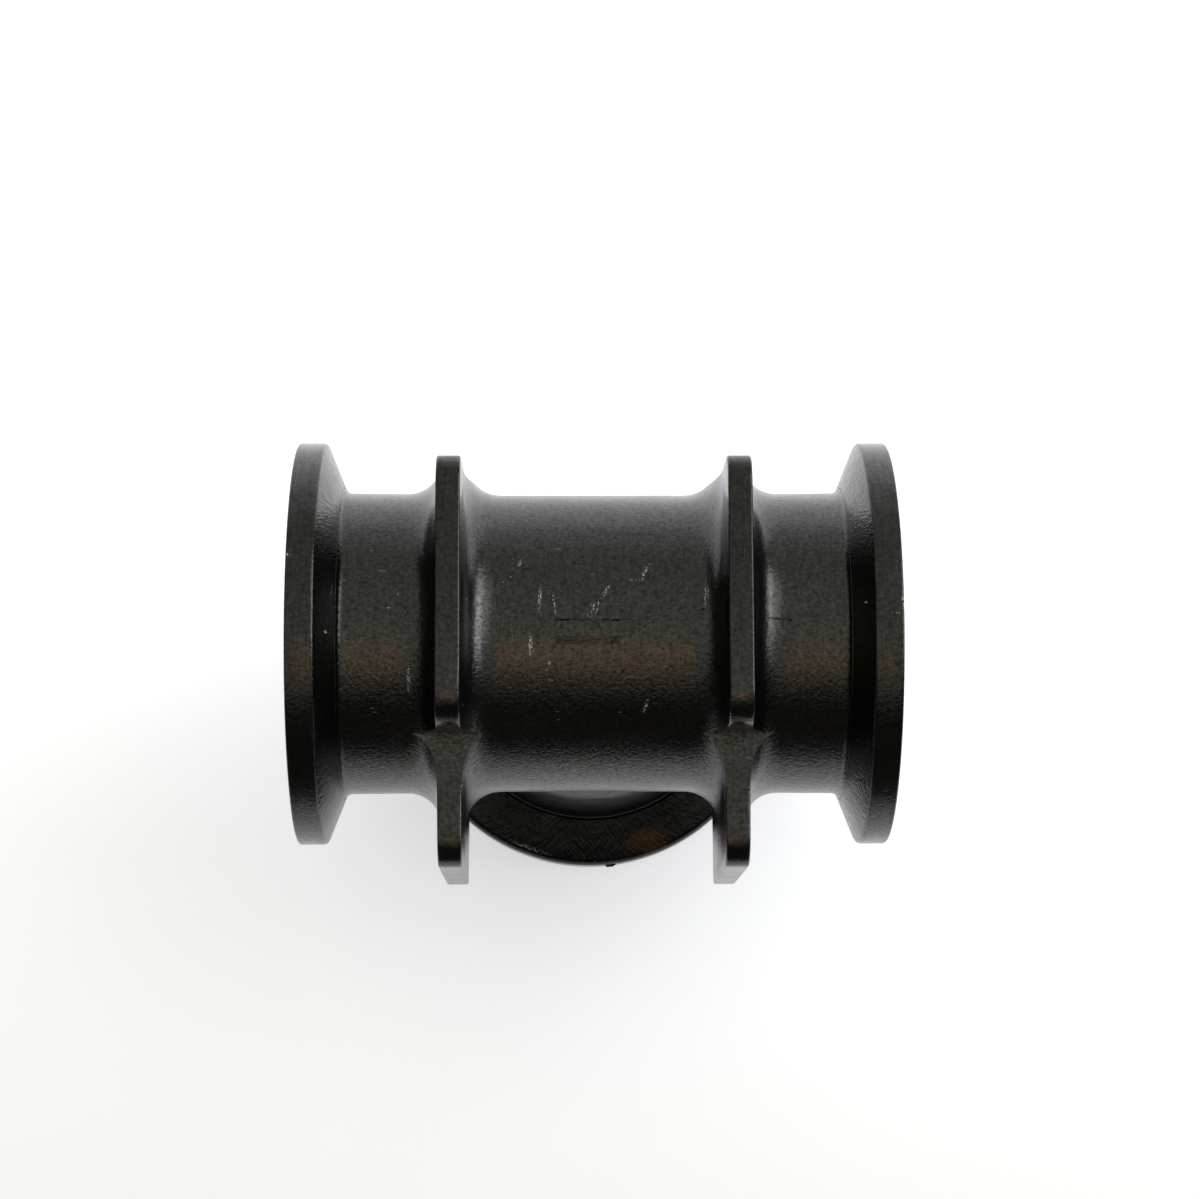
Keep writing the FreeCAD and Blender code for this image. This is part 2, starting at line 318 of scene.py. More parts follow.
def branch_outline():
    """Outline of the branch from the run axis down to the floor."""
    foot = (RIM_WIDTH + TAPER_LENGTH, HUB_RADIUS)
    rim = (RIM_WIDTH, FLANGE_RADIUS)
    return [
        (AXIS_HEIGHT, 0, 0),
        (AXIS_HEIGHT, BRANCH_ROOT_RADIUS, 0),
        (*foot, BRANCH_HUB_ROUND),
        *turned_line(foot, rim, BRANCH_HUB_ROUND, BRANCH_LINE_WIDTH, BRANCH_LINE_DEPTH),
        (*rim, BRANCH_RIM_ROUND),
        (0, FLANGE_RADIUS, RIM_FACE_ROUND),
        *gasket_seat(0, 1),
        (0, 0, 0),
    ]


def plate_outline():
    """Outline of a rib plate with its foot, seen along the run."""
    return [
        (RIB_TOP, FOOT_BACK, BACK_CORNER),
        (RIB_TOP, RIB_FRONT, RIB_CORNER),
        (RIB_UNDERSIDE, RIB_FRONT, RIB_CORNER),
        (RIB_UNDERSIDE, FOOT_FRONT, 0),
        (-FOOT_DROP, FOOT_FRONT, FOOT_CORNER),
        (-FOOT_DROP, FOOT_BACK, BACK_CORNER),
    ]


def make_run():
    """The run pipe with its flanges, and the two disks cut to the plates' outline."""
    half = run_outline()
    other = [(-across, up, radius) for across, up, radius in reversed(half)]
    points = spaced(eased(other + half), LONGEST_STRIP)
    run = turned_solid("tee_moulding", points, ALONG_X, RUN_AXIS)
    square = [Vector(corner) * WASTE_REACH for corner in ((-1, -1), (1, -1), (1, 1), (-1, 1))]
    waste = block("waste", square, -PLATE_ZONE, PLATE_ZONE)
    kept = block("kept", eased(plate_outline()), -PLATE_ZONE - CUT_MARGIN, PLATE_ZONE + CUT_MARGIN)
    combine(waste, kept, "DIFFERENCE")
    combine(run, waste, "DIFFERENCE")
    return run


def make_branch():
    """The branch pipe with its flange."""
    points = spaced(eased(branch_outline()), LONGEST_STRIP)
    return turned_solid("branch", points, ALONG_Z, FACE_MIDDLE)


def bore_core(name, ends, radius, along, middle):
    """A core for a bore that widens past each open end, which leaves a small lip in the face.
    Its ends are (first place, last place, whether the first is open too). It is turned half a
    step, so that its facets don't meet the pipe's edge to edge."""
    first, last, both_open = ends
    wide = radius + BORE_LIP + CUT_MARGIN
    start = [(first, 0), (first, radius)]
    if both_open:
        start = [(first - CUT_MARGIN, 0), (first - CUT_MARGIN, wide), (first + BORE_LIP, radius)]
    end = [(last - BORE_LIP, radius), (last + CUT_MARGIN, wide), (last + CUT_MARGIN, 0)]
    core = turned_solid(name, [Vector(point) for point in start + end], along, middle)
    half_step = Matrix.Rotation(math.pi / TURNS, 4, along)
    core.data.transform(Matrix.Translation(middle) @ half_step @ Matrix.Translation(-middle))
    return core


def cut_waterway(piece):
    """Bores through the run and the branch."""
    core = bore_core("run_core", (-HALF_RUN, HALF_RUN, True), RUN_BORE_RADIUS, ALONG_X, RUN_AXIS)
    branch_core = bore_core(
        "branch_core", (-AXIS_HEIGHT, 0, False), BRANCH_BORE_RADIUS, -ALONG_Z, FACE_MIDDLE)
    combine(core, branch_core, "UNION")
    combine(piece, core, "DIFFERENCE")


def add_gate_mark(piece):
    """The low pads on top of the run with the torn gate on them, and a burr on the branch rim."""
    for low_x, high_x, top in GATE_PADS:
        corners = [(0, top), (PAD_EDGE, top), (PAD_FOOT, PAD_FOOT_HEIGHT), (PAD_FOOT, PAD_ROOT),
                   (0, PAD_ROOT)]
        side = spaced([Vector(corner) for corner in corners], PAD_STEP)
        combine(piece, block("gate_pad", side, low_x, high_x), "UNION")
    for shape in TORN_GATE + [RIM_BURR]:
        combine(piece, lump("torn_gate", shape), "UNION")


def cut_small_marks(piece):
    """The parting line's grooves on top of the run, and the nicks in the flange rims."""
    for low_x, high_x, y, width, depth in PARTING_GROOVES:
        side = [Vector((y - width / 2, GROOVE_TOP)), Vector((y + width / 2, GROOVE_TOP)),
                Vector((y, MIDDLE_RADIUS - depth))]
        combine(piece, block("parting_groove", side, low_x, high_x), "DIFFERENCE")
    for shape in NICKS:
        combine(piece, lump("nick", shape), "DIFFERENCE")


def from_run_axis(place):
    """Distance of a place in millimetres from the run axis."""
    return math.hypot(place.y, place.z - AXIS_HEIGHT)


def off_pipe(face):
    """Whether a face is clear of the run pipe, seen along the run."""
    return from_run_axis(face.calc_center_median()) > PIPE_RADIUS + SKIN_CLEARANCE


def is_plate_side(face):
    """Whether a face is part of a plate's drafted side. The branch has faces that look the same
    way, but they lie lower than the plates."""
    middle = face.calc_center_median()
    at_plates = abs(middle.x) < PLATE_ZONE and middle.z > AXIS_HEIGHT + FOOT_BACK
    return abs(face.normal.x) > FACING_X and at_plates and off_pipe(face)


def is_plate_edge(face):
    """Whether a face is part of a plate's cut edge or of the root rounds beside it."""
    beside = (PLATE_INNER - INNER_ROOT_ROUND < abs(face.calc_center_median().x)
              < PLATE_OUTER + OUTER_ROOT_ROUND)
    return beside and abs(face.normal.x) < EDGE_ON_TO_X and off_pipe(face)


def clear_of_roots(edge):
    """Whether an edge lies where a plate's side is wide enough to be rounded."""
    return min(from_run_axis(vert.co) for vert in edge.verts) > PLATE_ROUND_START


def round_plate_edges(piece):
    """Make each plate's drafted side one face, then round its free edges. The bevel isn't clamped,
    because the shortest edge would then make every round as small as itself."""
    bm = bmesh.new()
    bm.from_mesh(piece.data)
    put_in_order(bm)
    bmesh.ops.remove_doubles(bm, verts=bm.verts, dist=WELD_AFTER_CUTS)
    bm.normal_update()
    beside = [edge for edge in bm.edges if any(is_plate_side(face) for face in edge.link_faces)]
    bmesh.ops.dissolve_limit(
        bm, angle_limit=LEVEL_ANGLE, use_dissolve_boundaries=False,
        verts=[], edges=beside, delimit=set())
    bm.normal_update()
    free = []
    for edge in bm.edges:
        if len(edge.link_faces) != 2:
            continue
        cut, side = sorted(edge.link_faces, key=lambda face: abs(face.normal.x))
        if abs(side.normal.x) > FACING_X and is_plate_edge(cut) and clear_of_roots(edge):
            free.append(edge)
    bmesh.ops.bevel(
        bm, geom=free, offset=PLATE_EDGE_ROUND, offset_type="OFFSET", segments=EDGE_SEGMENTS,
        profile=0.5, affect="EDGES", material=-1, clamp_overlap=False)
    bmesh.ops.recalc_face_normals(bm, faces=bm.faces)
    put_in_order(bm)
    bm.to_mesh(piece.data)
    bm.free()


def near_gate(place):
    """Whether a place in metres lies on the gate's pads or grooves."""
    x, y, z = place / MM
    return abs(x) < GATE_REACH and GATE_FRONT < y < GATE_BEHIND and z > GATE_FLOOR


def sharpen_gate(piece):
    """Divide the gate's pads into triangles and keep their edges and the grooves' crisp."""
    bm = bmesh.new()
    bm.from_mesh(piece.data)
    around = [face for face in bm.faces if near_gate(face.calc_center_median())]
    bmesh.ops.triangulate(bm, faces=around, quad_method="BEAUTY", ngon_method="BEAUTY")
    bm.normal_update()
    for edge in bm.edges:
        middle = (edge.verts[0].co + edge.verts[1].co) / 2
        shared = len(edge.link_faces) == 2
        if near_gate(middle) and shared and edge.calc_face_angle() > GATE_EDGE_ANGLE:
            edge.smooth = False
    bm.to_mesh(piece.data)
    bm.free()


def make_tee():
    """The whole moulding, in metres."""
    tee = make_run()
    combine(tee, make_branch(), "UNION")
    cut_waterway(tee)
    add_gate_mark(tee)
    cut_small_marks(tee)
    round_plate_edges(tee)
    tee.data.transform(Matrix.Scale(MM, 4))
    tee.data.shade_smooth()
    tee.data.set_sharp_from_angle(angle=SHARP_ANGLE)
    sharpen_gate(tee)
    return tee


def linear(hex_colour):
    """An sRGB hex colour as linear red, green, blue and alpha."""
    channels = [int(hex_colour[place:place + 2], 16) / 255 for place in (1, 3, 5)]
    return [c / 12.92 if c <= 0.04045 else ((c + 0.055) / 1.055) ** 2.4 for c in channels] + [1]


def add_node(tree, kind, settings, *inputs):
    """Add a node to a tree. Settings are its properties, and its sockets by name or number. The
    inputs fill its first sockets. A socket takes a value, another node's output, or a node."""
    node = tree.nodes.new(kind)
    for key, value in {**settings, **dict(enumerate(inputs))}.items():
        if isinstance(key, str) and key not in node.inputs:
            setattr(node, key, value)
            continue
        if isinstance(value, bpy.types.Node):
            value = next(output for output in value.outputs if output.enabled)
        if isinstance(value, bpy.types.NodeSocket):
            tree.links.new(value, node.inputs[key])
        else:
            node.inputs[key].default_value = value
    return node


# The skin of the moulding. Sizes of a pattern's spots are millimetres along the pipe, round it and
# out from its axis, and heights are how far the pattern stands out. The mould's real grain is too
# fine to show, so grain, streaks and tool lines are drawn as coarse as they need to show.
WAVE_SIZE = 7.0
WAVE_HEIGHT = 0.04
GRAIN_SIZE = 0.7
GRAIN_SHARPNESS = 0.65
GRAIN_HEIGHT = 0.085
STREAK_SIZE = (0.95, 0.45, 0.95)
STREAK_HEIGHT = 0.02
TOOL_LINE_SIZE = (2.6, 0.42, 2.6)
TOOL_LINE_TURN = math.radians(32)
TOOL_LINE_HEIGHT = 0.09
RING_SIZE = (0.5, 3.2, 3.2)
NOISE_MEAN = 0.5

# The ridge of the parting line: how far from the middle plane its foot and its top lie, how far
# the grain pushes it aside, and the waves' values between which it fades in.
RIDGE_SIDE = {"From Min": 0.16, "From Max": 0.02}
RIDGE_UNEVENNESS = 0.25
RIDGE_BREAKS = {"From Min": 0.45, "From Max": 0.6}
RIDGE_HEIGHT = 0.03

# A scuff shows as beads, where it caught the skin's high spots. Flecks are single specks of dust,
# one in the middle of each cell of this size, and only in this share of the cells.
BEAD_SIZE = (0.2, 0.4, 0.4)
BEAD_EDGE = {"From Min": 0.52, "From Max": 0.62}
FLECK_SPACING = (6.0, 1.6, 3.0)
FLECK_EDGE = {"From Min": 0.09, "From Max": 0.02}
FLECK_SHARE = 0.2

# How strong the grain is: more towards the feet, less on the branch, and less out on the flanges.
GRAIN_TOWARDS_FEET = {"From Min": 10.0, "From Max": -14.0, "To Min": 0.7, "To Max": 1.4}
GRAIN_OUTWARDS = {"From Min": 31.0, "From Max": 36.0, "To Min": 1.0, "To Max": 0.65}
GRAIN_LOST_ON_BRANCH = 0.7

# What counts as the branch: all that is low between the run's flanges, and its pipe's skin.
BRANCH_LOW = 30.8
BRANCH_HALF_LENGTH = 45.0
BRANCH_SKIN_RADIUS = 31.0
BRANCH_SKIN_TOP = 46.0
RUN_SKIN_RADIUS = 30.5

# Finish: colours, roughness, and the specular level that the grain's pits break up. A rubbed spot
# is smoother than the skin round it, and a dark scratch has hardly any gloss left.
PLASTIC_IOR = 1.49
PLASTIC_BLACK = "#060606"
# This brown paints a warm reflection on the branch flange's taper into the colour.
WARM_REFLECTION_BROWN = "#4c2f04"
# This pale colour paints real scuffs and flecks, and also one painted highlight on the branch
# flange.
PALE_SCUFF_AND_HIGHLIGHT = "#a6a8a4"
PAINTED_REFLECTION_STRENGTH = 0.5
FLECK_STRENGTH = 0.3
BASE_ROUGHNESS = 0.16
WAVE_ROUGHNESS = 0.1
PALE_ROUGHNESS = 0.2
RUBBED_ROUGHNESS = -0.12
BASE_GLOSS = 0.05
RING_GLOSS = 0.35
GRAIN_GLOSS = 1.1
STREAK_GLOSS = 0.6
SCRATCH_GLOSS = -0.9

# Wear and painted light, as (x, y, z, half length, half width, turn about Z in degrees), in
# millimetres. A mark reaches this far up and down, and is full inside this share of its size.
MARK_DEPTH = 2.0
MARK_CORE = 0.45
SCUFFS_AND_PAINTED_HIGHLIGHT = [
    (-10.4, 4.4, 90.8, 3.2, 0.42, 88), (-7.6, 3.4, 90.9, 2.6, 0.3, 96),
    (-0.9, 2.2, 91.0, 1.5, 0.25, 74), (-0.1, 2.4, 91.0, 1.6, 0.25, 72),
    (0.7, 2.6, 91.0, 1.5, 0.25, 76), (2.2, 5.6, 90.5, 2.0, 0.45, 60),
    (9.7, 9.5, 89.5, 1.9, 0.45, 62), (7.8, 8.1, 89.9, 1.4, 0.2, 4),
    (9.1, 8.2, 89.9, 0.6, 0.5, 0), (-12.1, -4.9, 90.7, 2.9, 0.5, 94),
    (-8.6, -8.1, 90.0, 0.5, 0.4, 0), (-9.0, -9.4, 89.6, 0.4, 0.4, 0),
    (-8.2, -11.2, 88.9, 0.5, 0.4, 0), (21.4, 4.5, 91.5, 2.6, 0.3, 88),
    (21.9, 5.4, 91.6, 1.8, 0.25, 94), (-14.2, 11.6, 88.7, 1.0, 0.4, 60),
    (-35.5, -10.9, 89.5, 4.4, 0.5, 90), (10.0, -16.0, 86.4, 1.8, 0.4, 70),
    (-51.1, -3.0, 96.3, 0.4, 0.4, 0), (51.6, 2.3, 97.6, 0.4, 0.4, 0),
    (58.4, 2.2, 101.5, 0.45, 2.8, 0), (56.9, -0.3, 101.6, 1.4, 0.12, 0),
    (-40.6, 9.9, 89.7, 1.2, 0.14, -8), (-38.8, 5.7, 90.8, 0.8, 0.12, 12),
    (-39.2, 2.4, 91.2, 1.1, 0.16, -6), (-37.6, 5.2, 90.9, 0.5, 0.12, 70),
    (-41.3, 7.1, 90.5, 0.6, 0.12, 10), (-58.0, 11.2, 100.0, 0.7, 0.5, 20),
    # The first mark on this line, on the branch flange's taper, is a painted highlight, not a
    # scuff.
    (-13.0, -36.6, 6.1, 5.4, 0.5, -20), (-15.7, 8.9, 89.7, 4.6, 0.12, 36),
    (-50.2, 5.1, 93.7, 1.8, 0.12, 90)]
SCRATCHES = [
    (5.4, -9.8, 89.4, 2.4, 0.14, 48), (21.1, 2.1, 91.6, 0.4, 0.3, 0),
    (35.0, 0.2, 91.7, 3.0, 0.2, -4), (37.7, -0.1, 91.4, 0.5, 0.3, 0)]
RUBBED_SPOTS = [
    (-14.0, -6.5, 90.3, 1.9, 0.7, 0), (-7.3, -6.7, 90.3, 0.8, 0.5, 0),
    (0.4, -5.8, 90.5, 2.4, 0.9, -6), (15.2, -6.5, 90.4, 1.3, 0.6, 0)]
# Painted warm reflection: a brown patch on the branch flange's taper, painted into the colour.
PAINTED_WARM_REFLECTIONS = [(12.2, -35.0, 7.0, 6.0, 3.6, 22), (14.0, -36.6, 6.4, 4.0, 1.4, 22)]


def marks_mask(tree, place, marks):
    """How far inside any of these marks a place is, from 0 outside to 1 at the middle."""
    result = None
    for x, y, z, long, wide, turn in marks:
        inside = add_node(tree, "ShaderNodeMapping", {
            "vector_type": "TEXTURE", "Location": (x, y, z),
            "Rotation": (0, 0, math.radians(turn)), "Scale": (long, wide, MARK_DEPTH)}, place)
        away = add_node(tree, "ShaderNodeVectorMath", {"operation": "LENGTH"}, inside)
        mask = add_node(tree, "ShaderNodeMapRange", {"From Min": 1.0, "From Max": MARK_CORE}, away)
        if result is not None:
            mask = add_node(tree, "ShaderNodeMath", {"operation": "MAXIMUM"}, result, mask)
        result = mask
    return result


def stretched_noise(tree, place, lengths, detail, turn=0):
    """Noise drawn out by these three lengths in millimetres, after a turn about the first axis."""
    drawn = add_node(tree, "ShaderNodeMapping", {
        "vector_type": "TEXTURE", "Rotation": (turn, 0, 0), "Scale": lengths}, place)
    return add_node(tree, "ShaderNodeTexNoise", {"Scale": 1.0, "Detail": detail}, drawn)


def skin_place(tree, x, y, z):
    """Where a place lies on the skin: along the pipe, round it, and out from its axis. Also its
    distance from a flange's face and whether it is on the branch, whose pipe turns about Z."""
    add = partial(add_node, tree)
    across = add("ShaderNodeMath", {"operation": "ABSOLUTE"}, x)
    above_axis = add("ShaderNodeMath", {"operation": "SUBTRACT"}, z, AXIS_HEIGHT)
    from_face = add("ShaderNodeMath", {"operation": "SUBTRACT"}, HALF_RUN, across)
    from_face = add("ShaderNodeMath", {"operation": "MINIMUM"}, from_face, z)
    from_run = distance(tree, y, above_axis)
    from_branch = distance(tree, y, across)

    near = add("ShaderNodeMath", {"operation": "LESS_THAN"}, from_branch, BRANCH_SKIN_RADIUS)
    off_run = add("ShaderNodeMath", {"operation": "GREATER_THAN"}, from_run, RUN_SKIN_RADIUS)
    below = add("ShaderNodeMath", {"operation": "LESS_THAN"}, z, BRANCH_SKIN_TOP)
    branch_skin = add("ShaderNodeMath", {"operation": "MULTIPLY"}, near, off_run)
    branch_skin = add("ShaderNodeMath", {"operation": "MULTIPLY"}, branch_skin, below)
    between = add("ShaderNodeMath", {"operation": "LESS_THAN"}, across, BRANCH_HALF_LENGTH)
    low_down = add("ShaderNodeMath", {"operation": "LESS_THAN"}, z, BRANCH_LOW)
    branch_foot = add("ShaderNodeMath", {"operation": "MULTIPLY"}, between, low_down)
    on_branch = add("ShaderNodeMath", {"operation": "MAXIMUM"}, branch_foot, branch_skin)

    run_place = add("ShaderNodeCombineXYZ", {}, x, y, above_axis)
    forwards = add("ShaderNodeMath", {"operation": "MULTIPLY"}, y, -1.0)
    branch_place = add("ShaderNodeCombineXYZ", {}, z, x, forwards)
    own_place = add("ShaderNodeMix", {
        "data_type": "VECTOR", 4: run_place, 5: branch_place}, on_branch)
    along, side, up = add("ShaderNodeSeparateXYZ", {}, own_place).outputs
    angle = add("ShaderNodeMath", {"operation": "ARCTAN2"}, side, up)
    turned = add("ShaderNodeMath", {"operation": "MULTIPLY"}, angle, PIPE_RADIUS)
    outwards = distance(tree, side, up)
    return add("ShaderNodeCombineXYZ", {}, along, turned, outwards), outwards, from_face, on_branch


def distance(tree, first, second):
    """Distance from an axis, given the two distances across it."""
    add = partial(add_node, tree)
    squares = add("ShaderNodeMath", {"operation": "MULTIPLY"}, second, second)
    squares = add("ShaderNodeMath", {"operation": "MULTIPLY_ADD"}, first, first, squares)
    return add("ShaderNodeMath", {"operation": "SQRT"}, squares)


def weighted_sum(tree, parts, start):
    """A start value with each of these parts added at its weight."""
    total = start
    for part, weight in parts:
        total = add_node(
            tree, "ShaderNodeMath", {"operation": "MULTIPLY_ADD"}, part, weight, total)
    return total


def moulded_black_polypropylene():
    """Glass-filled polypropylene, injection moulded: deep black with a satin skin, fine grain,
    flow streaks along the pipe, crossed tool lines on the tapers, and pale rubbed scuffs. Its
    colour also holds a painted highlight and a painted warm reflection on the branch flange."""
    material = bpy.data.materials.new("moulded_black_polypropylene")
    material.use_nodes = True
    tree = material.node_tree
    tree.nodes.clear()
    add = partial(add_node, tree)
    place = add("ShaderNodeVectorMath", {"operation": "SCALE", "Scale": 1 / MM},
                add("ShaderNodeTexCoord", {}).outputs["Object"])
    x, y, z = add("ShaderNodeSeparateXYZ", {}, place).outputs
    skin, outwards, from_face, on_branch = skin_place(tree, x, y, z)

    # The skin's relief: slow waves of the mould, grain, flow streaks and crossed tool lines.
    waves = add("ShaderNodeTexNoise", {"Scale": 1 / WAVE_SIZE, "Detail": 1.0}, place)
    grain = add("ShaderNodeTexNoise", {
        "Scale": 1 / GRAIN_SIZE, "Detail": 3.0, "Roughness": GRAIN_SHARPNESS}, place)
    streaks = stretched_noise(tree, skin, STREAK_SIZE, 2.0)
    rings = stretched_noise(tree, skin, RING_SIZE, 2.0)
    tool_lines = add("ShaderNodeMath", {"operation": "ADD"},
                     stretched_noise(tree, skin, TOOL_LINE_SIZE, 1.0, TOOL_LINE_TURN),
                     stretched_noise(tree, skin, TOOL_LINE_SIZE, 1.0, -TOOL_LINE_TURN))
    on_taper = add("ShaderNodeMath", {"operation": "COMPARE"},
                   from_face, RIM_WIDTH + TAPER_LENGTH / 2, TAPER_LENGTH / 2)
    tool_lines = add("ShaderNodeMath", {"operation": "MULTIPLY"}, tool_lines, on_taper)
    strength = add("ShaderNodeMath", {"operation": "MULTIPLY"},
                   add("ShaderNodeMapRange", GRAIN_TOWARDS_FEET, y),
                   weighted_sum(tree, [(on_branch, -GRAIN_LOST_ON_BRANCH)], 1.0))
    strength = add("ShaderNodeMath", {"operation": "MULTIPLY"}, strength,
                   add("ShaderNodeMapRange", GRAIN_OUTWARDS, outwards))
    raised = add("ShaderNodeMath", {"operation": "MULTIPLY"}, grain, strength)

    # The mould's parting line: a fine broken ridge on the upright middle plane.
    off_plane = add("ShaderNodeMath", {"operation": "SUBTRACT"}, y, RIDGE_UNEVENNESS / 2)
    off_plane = add("ShaderNodeMath", {"operation": "ABSOLUTE"},
                    weighted_sum(tree, [(grain, RIDGE_UNEVENNESS)], off_plane))
    ridge = add("ShaderNodeMath", {"operation": "MULTIPLY"},
                add("ShaderNodeMapRange", RIDGE_SIDE, off_plane),
                add("ShaderNodeMapRange", RIDGE_BREAKS, waves))
    height = weighted_sum(tree, [
        (waves, WAVE_HEIGHT), (raised, GRAIN_HEIGHT), (streaks, STREAK_HEIGHT),
        (tool_lines, TOOL_LINE_HEIGHT), (ridge, RIDGE_HEIGHT)], 0.0)

    # Wear: beaded pale scuffs, a few pale flecks, dark scratches and rubbed spots. Painted light:
    #     # a beaded pale painted highlight among the scuffs, and a brown painted warm reflection.
    # The marks stay out of the relief, because so many in a bump are more than the renderer takes.
    beads = add("ShaderNodeMapRange", BEAD_EDGE, stretched_noise(tree, skin, BEAD_SIZE, 2.0))
    # Pale beaded scuffs, and one painted highlight on the branch flange.
    scuff_and_highlight = add("ShaderNodeMath", {"operation": "MULTIPLY"},
                marks_mask(tree, place, SCUFFS_AND_PAINTED_HIGHLIGHT), beads)
    cells = add("ShaderNodeTexVoronoi", {"Scale": 1.0}, add(
        "ShaderNodeMapping", {"vector_type": "TEXTURE", "Scale": FLECK_SPACING}, skin)).outputs
    number = add("ShaderNodeSeparateColor", {}, cells["Color"]).outputs["Red"]
    chosen = add("ShaderNodeMath", {"operation": "GREATER_THAN"}, number, 1 - FLECK_SHARE)
    fleck = add("ShaderNodeMath", {"operation": "MULTIPLY"},
                add("ShaderNodeMapRange", FLECK_EDGE, cells["Distance"]), chosen)
    fleck = add("ShaderNodeMath", {"operation": "MULTIPLY"}, fleck, FLECK_STRENGTH)
    pale = add("ShaderNodeMath", {"operation": "MAXIMUM"}, scuff_and_highlight, fleck)
    scratch = marks_mask(tree, place, SCRATCHES)
    rubbed = marks_mask(tree, place, RUBBED_SPOTS)
    # Painted warm reflection on the branch flange's taper.
    painted_warm_reflection = add("ShaderNodeMath", {"operation": "MULTIPLY"},
               marks_mask(tree, place, PAINTED_WARM_REFLECTIONS), PAINTED_REFLECTION_STRENGTH)

    # The finish: pits between the grain dull the skin, and scratches take its gloss away.
    roughness = weighted_sum(tree, [
        (waves, WAVE_ROUGHNESS), (pale, PALE_ROUGHNESS), (rubbed, RUBBED_ROUGHNESS),
    ], BASE_ROUGHNESS)
    pits = add("ShaderNodeMath", {"operation": "SUBTRACT"}, grain, NOISE_MEAN)
    pits = weighted_sum(tree, [(streaks, STREAK_GLOSS), (pits, GRAIN_GLOSS)], 0.0)
    pits = add("ShaderNodeMath", {"operation": "MULTIPLY"}, pits, strength)
    gloss = add("ShaderNodeMath", {"operation": "ADD"},
                weighted_sum(tree, [(rings, RING_GLOSS)], pits), BASE_GLOSS)
    gloss = add("ShaderNodeMath", {"operation": "MULTIPLY"},
                gloss, weighted_sum(tree, [(scratch, SCRATCH_GLOSS)], 1.0))
    colour = add("ShaderNodeMix", {
        "data_type": "RGBA", 6: linear(PLASTIC_BLACK), 7: linear(WARM_REFLECTION_BROWN)}, painted_warm_reflection)
    colour = add("ShaderNodeMix", {"data_type": "RGBA", 6: colour, 7: linear(PALE_SCUFF_AND_HIGHLIGHT)}, pale)
    bump = add("ShaderNodeBump", {"Strength": 1.0, "Distance": MM, "Height": height})
    shader = add("ShaderNodeBsdfPrincipled", {
        "IOR": PLASTIC_IOR, "Base Color": colour, "Roughness": roughness,
        "Specular IOR Level": gloss, "Normal": bump})
    add("ShaderNodeOutputMaterial", {"Surface": shader})
    return material


# The table, in metres: half its width, and how far it reaches in front of the part. Its light from
# below grows between two places in Y. Its IOR is low, because the photo shows no mirrored part.
FLOOR_REACH = 3.0
FLOOR_FRONT = 0.25
FLOOR_GLOW = {"From Min": -0.2, "From Max": 0.1, "To Min": 0.15, "To Max": 0.88}
GLOW_COLOUR = "#f6f8ff"
ACRYLIC_WHITE = "#e2e2e6"
ACRYLIC_ROUGHNESS = 0.7
ACRYLIC_IOR = 1.3


def plain_floor():
    """A pale matt floor: white acrylic, lit from below under the part and more so behind it."""
    bm = bmesh.new()
    bmesh.ops.create_grid(bm, x_segments=1, y_segments=1, size=FLOOR_REACH)
    bmesh.ops.translate(bm, verts=bm.verts, vec=(0, FLOOR_REACH - FLOOR_FRONT, 0))
    floor = finished("floor", bm)
    material = bpy.data.materials.new("white_acrylic_sheet")
    material.use_nodes = True
    tree = material.node_tree
    tree.nodes.clear()
    place = add_node(tree, "ShaderNodeTexCoord", {}).outputs["Object"]
    y = add_node(tree, "ShaderNodeSeparateXYZ", {}, place).outputs["Y"]
    shader = add_node(tree, "ShaderNodeBsdfPrincipled", {
        "Base Color": linear(ACRYLIC_WHITE), "Roughness": ACRYLIC_ROUGHNESS, "IOR": ACRYLIC_IOR,
        "Emission Color": linear(GLOW_COLOUR),
        "Emission Strength": add_node(tree, "ShaderNodeMapRange", FLOOR_GLOW, y)})
    add_node(tree, "ShaderNodeOutputMaterial", {"Surface": shader})
    floor.data.materials.append(material)


# The camera: the photograph's view, fitted to the outline. Lengths are millimetres.
FRAME_WIDTH = 1200
FOCAL_PIXELS = 3046.0
MM_PER_PIXEL = 0.2015
VIEW_TILT = math.radians(9.40)
VIEW_YAW = math.radians(0.80)
VIEW_ROLL = math.radians(0.05)
AXIS_RIGHT_OF_MIDDLE = -7.84 * MM_PER_PIXEL
AXIS_ABOVE_MIDDLE = -43.98 * MM_PER_PIXEL
SENSOR_WIDTH = 36.0


def photo_camera():
    """A camera almost straight above the part, leaning towards the feet."""
    data = bpy.data.cameras.new("camera")
    data.sensor_fit = "HORIZONTAL"
    data.sensor_width = SENSOR_WIDTH
    data.lens = SENSOR_WIDTH * FOCAL_PIXELS / FRAME_WIDTH
    camera = bpy.data.objects.new("camera", data)
    turn = (Matrix.Rotation(VIEW_ROLL, 4, "Z") @ Matrix.Rotation(VIEW_YAW, 4, "Y")
            @ Matrix.Rotation(-VIEW_TILT, 4, "X"))
    seen_from = Matrix.Translation(
        Vector((AXIS_RIGHT_OF_MIDDLE, AXIS_ABOVE_MIDDLE, -FOCAL_PIXELS * MM_PER_PIXEL)) * MM)
    to_axis = Matrix.Translation(-RUN_AXIS * MM)
    camera.matrix_world = (seen_from @ turn @ to_axis).inverted()
    bpy.context.scene.collection.objects.link(camera)
    bpy.context.scene.camera = camera


# The lights, in metres and degrees. Radiance is on the scale where white paper in full light is 1.
ROOM_COLOUR = "#fff6ec"
ROOM_LIGHT = 0.06
CEILING_COLOUR = "#fbffea"
CEILING_SIDES = (-2.6, 2.2)
CEILING_BACK = 6.0


def area_light(name, width, height, radiance, colour):
    """A flat light of this size and radiance that faces down until it is turned."""
    data = bpy.data.lights.new(name, "AREA")
    data.shape = "RECTANGLE"
    data.size = width
    data.size_y = height
    data.energy = radiance * math.pi * width * height
    data.color = linear(colour)[:3]
    lamp = bpy.data.objects.new(name, data)
    bpy.context.scene.collection.objects.link(lamp)
    return lamp


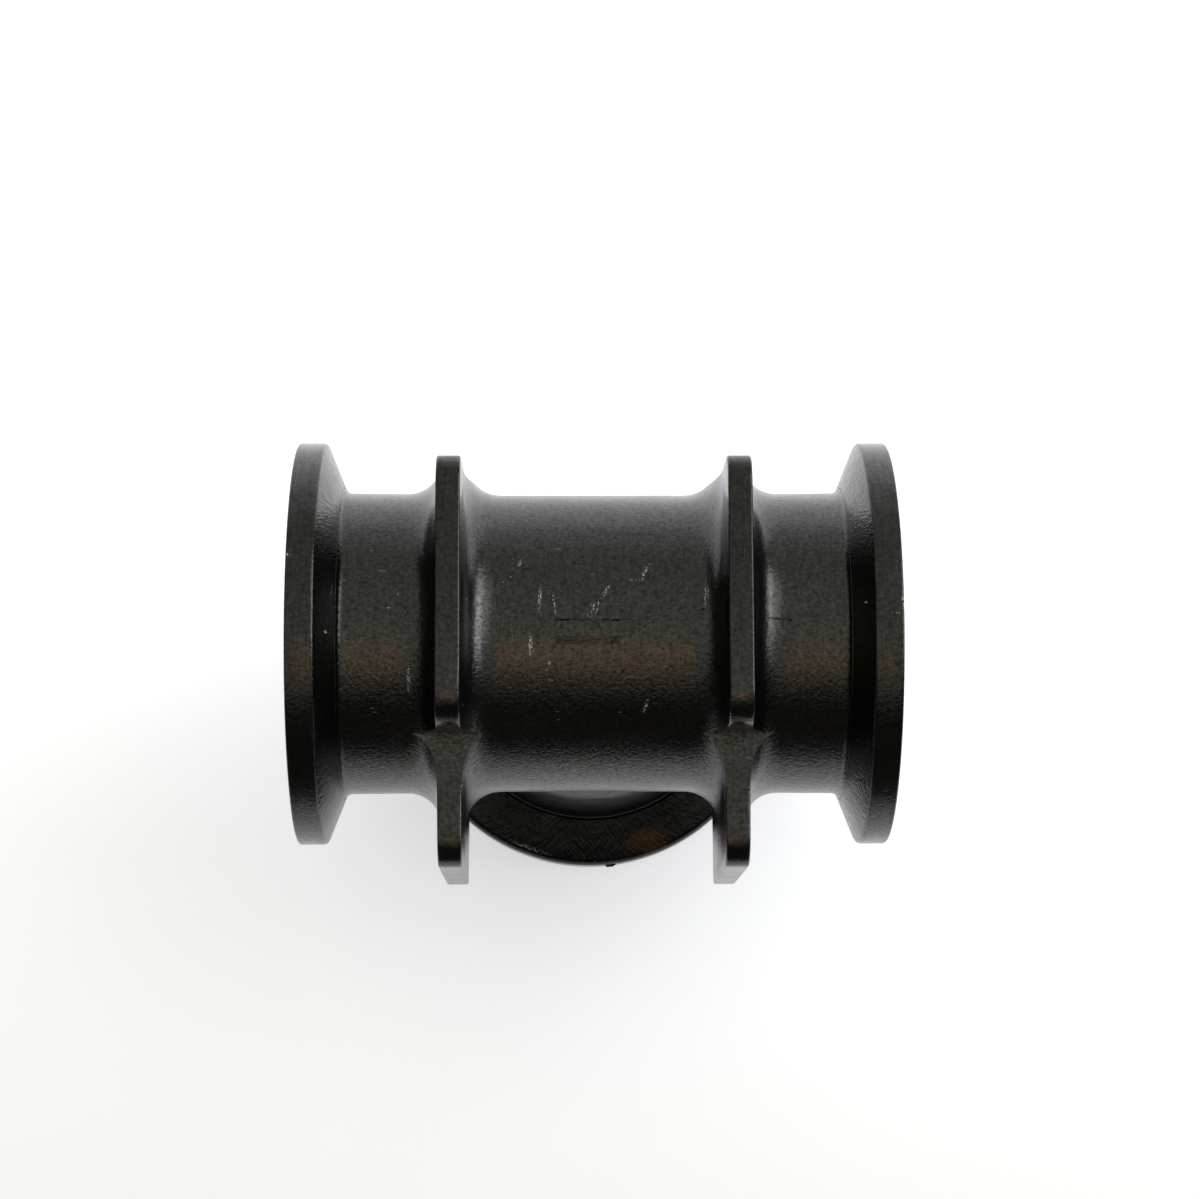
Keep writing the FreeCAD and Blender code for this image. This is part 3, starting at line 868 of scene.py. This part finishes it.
def direction(turn, rise):
    """A unit vector at a compass turn from +X and a rise above the floor, both in degrees."""
    turn = math.radians(turn)
    rise = math.radians(rise)
    level = math.cos(rise)
    return Vector((math.cos(turn) * level, math.sin(turn) * level, math.sin(rise)))


def softbox(name, turn, rise, distance, width, height, radiance, colour):
    """A soft light at a compass turn from +X and a rise above the floor, aimed at the part."""
    aim = direction(turn, rise)
    lamp = area_light(name, width, height, radiance, colour)
    lamp.location = aim * distance + RUN_AXIS * MM
    lamp.rotation_euler = aim.to_track_quat("Z", "Y").to_euler()


def lit_ceiling(height, front, radiance):
    """A level lit ceiling that starts at this place in front of the part."""
    low_x, high_x = CEILING_SIDES
    lamp = area_light("ceiling", high_x - low_x, CEILING_BACK - front, radiance, CEILING_COLOUR)
    lamp.location = ((low_x + high_x) / 2, (front + CEILING_BACK) / 2, height)


def studio_light():
    """Soft light from above and behind, a window on the right, and a small warm lamp near the
    camera. The ceiling is two sheets, and only one of them reaches forward over the feet."""
    world = bpy.data.worlds.new("room")
    world.use_nodes = True
    background = world.node_tree.nodes["Background"]
    background.inputs["Color"].default_value = linear(ROOM_COLOUR)
    background.inputs["Strength"].default_value = ROOM_LIGHT
    bpy.context.scene.world = world
    lit_ceiling(height=1.2, front=-0.32, radiance=0.30)
    lit_ceiling(height=1.22, front=-0.95, radiance=0.48)
    softbox("window", turn=15, rise=25, distance=1.6, width=1.3, height=0.6, radiance=5.6,
            colour="#fbfdff")
    softbox("wall", turn=30, rise=48, distance=2.0, width=1.4, height=0.9, radiance=1.5,
            colour="#fdfffa")
    softbox("back_wall", turn=90, rise=5, distance=4.0, width=8.0, height=1.4, radiance=0.85,
            colour="#fbfcff")
    softbox("lamp", turn=-90, rise=71, distance=1.0, width=0.14, height=0.17, radiance=3.1,
            colour="#ff9c34")
    bpy.context.scene.view_settings.view_transform = "Standard"


tee = make_tee()
tee.data.materials.clear()
tee.data.materials.append(moulded_black_polypropylene())
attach(tee, "root")
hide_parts("tee_body")
plain_floor()
photo_camera()
studio_light()
